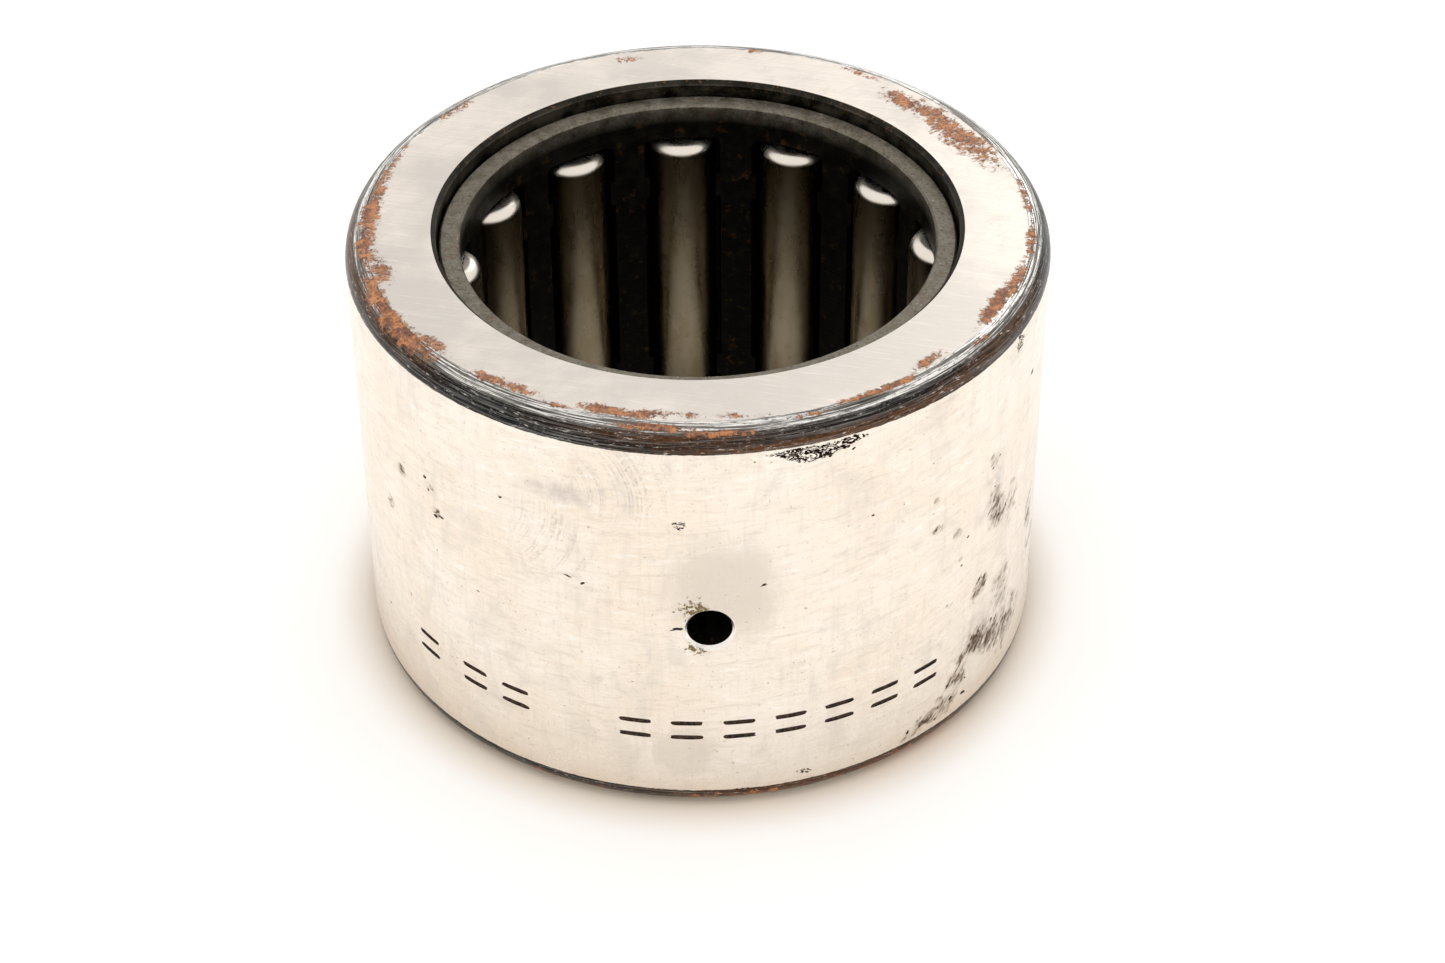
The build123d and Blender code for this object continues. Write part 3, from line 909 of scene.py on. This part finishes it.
def stamped_dashes():
    """Pairs of short level dashes, in place of the stamped characters."""
    half = (STAMP_LENGTH / 2, STAMP_DEPTH, STAMP_STROKE / 2)
    return [
        (azimuth, STAMP_HEIGHT + side * STAMP_GAP / 2, OUTER_RADIUS, half, 0, STAMP_ROUGHNESS)
        for azimuth in STAMP_AZIMUTHS
        for side in (-1, 1)
    ]


def nicks():
    """The single nicks."""
    return [
        (azimuth, height, OUTER_RADIUS, (length, NICK_DEPTH, thickness), turn, NICK_ROUGHNESS)
        for azimuth, height, length, thickness, turn in NICKS
    ]


def wear_corner(points):
    """The points with turning grooves and chips cut into the top corner."""
    across = across_of(points)
    upper = points[:, 2] > MID_HEIGHT
    radius = np.hypot(points[:, 0], points[:, 1])
    near_corner = (across > -0.3) & (across < CORNER_LENGTH + 0.2)
    skin = upper & (radius > RIB_BORE_RADIUS + 1) & near_corner
    worn = points.copy()
    for i in np.nonzero(skin)[0]:
        out = Vector((points[i, 0], points[i, 1], 0)).normalized()
        turn = min(max(across[i] / CORNER_RADIUS, 0), math.pi / 2)
        normal = out * math.sin(turn) + Vector((0, 0, math.cos(turn)))
        gaps = [(across[i] - place) / GROOVE_HALF_WIDTH for place in GROOVES]
        grooves = sum(math.exp(-(gap**2)) for gap in gaps)
        strength = 0.5 + noise.noise(out * 6 + Vector((0, 0, across[i] * 2)))
        chips = max(0.0, noise.noise(out * 55 + Vector((0, 0, across[i] * 2.5))) - 0.35)
        depth = GROOVE_DEPTH * grooves * max(strength, 0.15) + CHIP_DEPTH * chips
        worn[i] = Vector(points[i]) - normal * depth
    return worn


def make_ring(materials):
    """The ring with its wear, and what its skin's material reads at each point."""
    ring = lathe("ring_worn", ring_section(), RING_COLUMNS)
    face_outward(ring)
    paint(ring, materials)
    skin_radius = (RIB_BORE_RADIUS + RIB_CHAMFER) * MM
    for polygon in ring.data.polygons:
        inside = Vector(polygon.center[:2]).length < skin_radius
        hidden = RIB_THICKNESS * MM < polygon.center.z < (WIDTH - RIB_THICKNESS) * MM
        on_side = Vector(polygon.center[:2]).length > (RACEWAY_RADIUS + 1) * MM
        in_bore = inside or (hidden and not on_side)
        polygon.material_index = BORE_MATERIAL if in_bore else SKIN_MATERIAL
    set_points(ring, wear_corner(points_of(ring)))
    cutters = [oil_hole_cutter(), dent_cutter(stamped_dashes(), 4, STAMP_SQUARENESS)]
    cutters += [dent_cutter(nicks(), 3), dent_cutter(pits(), 2)]
    for cutter in cutters:
        paint(cutter, materials)
        cut(ring, cutter)
    smooth(ring, SHARP_EDGE)

    points = points_of(ring)
    azimuths = azimuth_of(points)
    across = across_of(points)
    upper = points[:, 2] > MID_HEIGHT
    directions = points[:, :2] / np.hypot(points[:, 0], points[:, 1])[:, None]
    wrap = np.column_stack([directions * OUTER_RADIUS, np.where(upper, across, -across - 7)])
    top_rust = patches(azimuths, across, TOP_RUST)
    bottom_rust = patches(azimuths, across, BOTTOM_RUST)
    store(ring, "across", across)
    store(ring, "wrap", wrap)
    store(ring, "rust", np.where(upper, top_rust, bottom_rust))
    store(ring, "tinge", patches(azimuths, across, TINGE))
    side = across > CORNER_LENGTH - 0.1
    for name, places in (("flake", FLAKES), ("stain", STAINS), ("smudge", SMUDGES)):
        store(ring, name, patches(azimuths, points[:, 2], places) * side)
    return ring


def pocket_outline(nib_tip):
    """One pocket seen from the axis, as (sideways, along) points about its middle."""
    half, length, corner = POCKET_HALF_WIDTH, POCKET_HALF_LENGTH, POCKET_CORNER
    quarter = arc((half - corner, length - corner), corner, 0, 90, POCKET_CORNER_STEP)
    quarter += [(half - corner, length)]
    side = []
    for middle in (-NIB_OFFSET, NIB_OFFSET):
        side += [
            (half, middle - NIB_HALF_LENGTH - NIB_SLOPE),
            (nib_tip, middle - NIB_HALF_LENGTH),
            (nib_tip, middle + NIB_HALF_LENGTH),
            (half, middle + NIB_HALF_LENGTH + NIB_SLOPE),
        ]
    right = [(x, -y) for x, y in reversed(quarter)] + side + quarter
    return right + [(-x, -y) for x, y in right]


def pocket_cutter(angles):
    """All the pockets, each lofted outward from its nibbed opening at the cage's bore."""
    sections = [
        (CAGE_BORE_RADIUS - POCKET_CLEARANCE, NIB_TIP),
        (NIB_RADII[0], NIB_TIP),
        (NIB_RADII[1], POCKET_HALF_WIDTH),
        (CAGE_RADIUS + POCKET_CLEARANCE, POCKET_HALF_WIDTH),
    ]
    points, faces = [], []
    for angle in angles:
        turn = Matrix.Rotation(angle, 3, "Z")
        first = len(points)
        for radius, nib_tip in sections:
            for sideways, along in pocket_outline(nib_tip):
                points.append((turn @ Vector((radius, sideways, MID_HEIGHT + along))) * MM)
        count = (len(points) - first) // len(sections)
        for level in range(len(sections) - 1):
            for i in range(count):
                low = first + level * count
                after = low + (i + 1) % count
                faces.append((low + i, after, after + count, low + count + i))
        faces.append([first + i for i in reversed(range(count))])
        faces.append([first + (len(sections) - 1) * count + i for i in range(count)])
    mesh = bpy.data.meshes.new("pockets")
    mesh.from_pydata(points, [], faces)
    cutter = new_piece("pockets", mesh)
    face_outward(cutter)
    return cutter


def make_cage(material, angles):
    """The cage, with a pocket at each angle."""
    low, high = CAGE_LOW.z, CAGE_HIGH.z
    corners = [
        (CAGE_BORE_RADIUS, low + CAGE_CHAMFER),
        (CAGE_BORE_RADIUS + CAGE_CHAMFER, low),
        (CAGE_RADIUS - CAGE_CHAMFER, low),
        (CAGE_RADIUS, low + CAGE_CHAMFER),
        (CAGE_RADIUS, high - CAGE_CHAMFER),
        (CAGE_RADIUS - CAGE_CHAMFER, high),
        (CAGE_BORE_RADIUS + CAGE_CHAMFER, high),
        (CAGE_BORE_RADIUS, high - CAGE_CHAMFER),
        (CAGE_BORE_RADIUS, low + CAGE_CHAMFER),
    ]
    cage = lathe("cage_oiled", outline_of(corners, CAGE_STEP), CAGE_COLUMNS)
    face_outward(cage)
    paint(cage, [material])
    pockets = pocket_cutter(angles)
    paint(pockets, [material])
    cut(cage, pockets)
    edge = cage.modifiers.new("edge", "BEVEL")
    edge.width = CAGE_EDGE * MM
    edge.segments = 2
    edge.angle_limit = math.radians(CAGE_BEVEL_EDGE)
    smooth(cage, SHARP_EDGE)
    heights = points_of(cage)[:, 2]
    near_end = np.minimum(high - heights, heights - low) < 1.2 * CAGE_CHAMFER
    store(cage, "cage_end", near_end.astype(float))
    return cage


def make_roller(number, joint, material):
    """One roller with rounded ends, about its own joint's axis."""
    half, corner = ROLLER_LENGTH / 2, ROLLER_CORNER
    lower = [(ROLLER_RADIUS - corner, -half)]
    lower += arc((ROLLER_RADIUS - corner, corner - half), corner, -90, 0, ROLLER_CORNER_STEP)[1:]
    side = run((ROLLER_RADIUS, corner - half), (ROLLER_RADIUS, half - corner), ROLLER_STEP)
    upper = arc((ROLLER_RADIUS - corner, half - corner), corner, 0, 90, ROLLER_CORNER_STEP)
    upper += [(ROLLER_RADIUS - corner, half)]
    outline = lower + side + upper
    roller = lathe(f"roller_lapped_{number:02d}", outline, ROLLER_COLUMNS, capped=True)
    face_outward(roller)
    roller.data.transform(Matrix.Translation(joint["pos_m"]))
    paint(roller, [material])
    smooth(roller, ROLLER_SHARP_EDGE)
    points = points_of(roller)
    axis = np.array(joint["pos_m"][:2]) / MM
    outward = axis / np.hypot(*axis)
    store(roller, "facing", (axis - points[:, :2]) @ outward / ROLLER_RADIUS)
    from_end = half - np.abs(points[:, 2] - MID_HEIGHT)
    store(roller, "roller_end", np.clip((0.75 * corner - from_end) / (0.25 * corner), 0, 1))
    return roller


def make_table(material):
    """A round white table, far wider than the camera's view."""
    work = bmesh.new()
    bmesh.ops.create_circle(work, cap_ends=True, segments=TABLE_COLUMNS, radius=TABLE_RADIUS)
    mesh = bpy.data.meshes.new("table")
    work.to_mesh(mesh)
    work.free()
    table = new_piece("table", mesh)
    paint(table, [material])


# ---------------------------------------------------------------- light and camera

# The table's radius in metres
TABLE_RADIUS = 12.0
WORLD_STRENGTH = 1.0
WORLD_COLOUR = (1.0, 0.985, 0.965, 1.0)
LAMP_COLOUR = (1.0, 0.985, 0.96)
# Lamps: place and size in metres, power in watts
OVERHEAD_PLACE = (-0.05, -0.15, 0.9)
OVERHEAD_SIZE = 0.9
OVERHEAD_POWER = 2.2
BEHIND_PLACE = (0.38, 0.86, 0.58)
BEHIND_SIZE = 0.5
BEHIND_POWER = 0.9
# Camera: angles in degrees, and distance from the bearing's middle, lens and sensor in
# millimetres
CAMERA_AZIMUTH = -1.2
CAMERA_ELEVATION = 37.34
CAMERA_DISTANCE = 182.3
CAMERA_LENS = 80.47
SENSOR_WIDTH = 36.0
# The nearest that it sees, in metres
CLIP_START = 0.005
# How far it aims off the bearing's middle, in radians
CAMERA_PAN = -0.0068
CAMERA_TILT = -0.0231
CAMERA_ROLL = -0.0103


def make_light(name, place, size, power):
    """A round soft lamp that shines on the bearing."""
    lamp = bpy.data.lights.new(name, "AREA")
    lamp.shape = "DISK"
    lamp.size = size
    lamp.energy = power
    lamp.color = LAMP_COLOUR
    holder = bpy.data.objects.new(name, lamp)
    holder.location = place
    holder.rotation_euler = (-Vector(place)).to_track_quat("-Z", "Y").to_euler()
    bpy.context.scene.collection.objects.link(holder)
    return holder


def make_world():
    """Even warm white light from all round."""
    world = bpy.data.worlds.new("studio")
    bpy.context.scene.world = world
    world.use_nodes = True
    sky = world.node_tree.nodes["Background"]
    sky.inputs["Color"].default_value = WORLD_COLOUR
    sky.inputs["Strength"].default_value = WORLD_STRENGTH
    bpy.context.scene.view_settings.view_transform = "Standard"


def make_camera():
    """Looks down at the bearing from the front, a little to its left."""
    azimuth, elevation = math.radians(CAMERA_AZIMUTH), math.radians(CAMERA_ELEVATION)
    level = math.cos(elevation)
    away = Vector((math.sin(azimuth) * level, -math.cos(azimuth) * level, math.sin(elevation)))
    place = Vector((0, 0, MID_HEIGHT)) + away * CAMERA_DISTANCE
    look = (-away).to_track_quat("-Z", "Y").to_matrix().to_4x4()
    pan = Matrix.Rotation(CAMERA_PAN, 4, "Y")
    tilt = Matrix.Rotation(CAMERA_TILT, 4, "X")
    roll = Matrix.Rotation(CAMERA_ROLL, 4, "Z")
    aim = pan @ tilt @ roll
    lens = bpy.data.cameras.new("camera")
    lens.lens = CAMERA_LENS
    lens.sensor_width = SENSOR_WIDTH
    lens.clip_start = CLIP_START
    camera = bpy.data.objects.new("camera", lens)
    camera.matrix_world = Matrix.Translation(place * MM) @ look @ aim
    bpy.context.scene.collection.objects.link(camera)
    bpy.context.scene.camera = camera


def main():
    make_world()
    overhead = make_light("overhead", OVERHEAD_PLACE, OVERHEAD_SIZE, OVERHEAD_POWER)
    # No reflection of this lamp, or the top face is blank white from above
    overhead.visible_glossy = False
    make_light("behind", BEHIND_PLACE, BEHIND_SIZE, BEHIND_POWER)
    make_camera()
    make_table(table_top())

    ring = make_ring([ring_skin(), ring_bore(), pit_floor()])
    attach(ring, "outer_ring")
    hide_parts("outer_ring")

    angles = [math.atan2(joint["pos_m"][1], joint["pos_m"][0]) for joint in ROLLER_JOINTS.values()]
    cage = make_cage(cage_skin(), angles)
    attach(cage, "cage")
    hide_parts("cage")

    lapped = roller_skin()
    for number, (node, joint) in enumerate(ROLLER_JOINTS.items(), start=1):
        roller = make_roller(number, joint, lapped)
        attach(roller, node)
        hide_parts(node)


main()
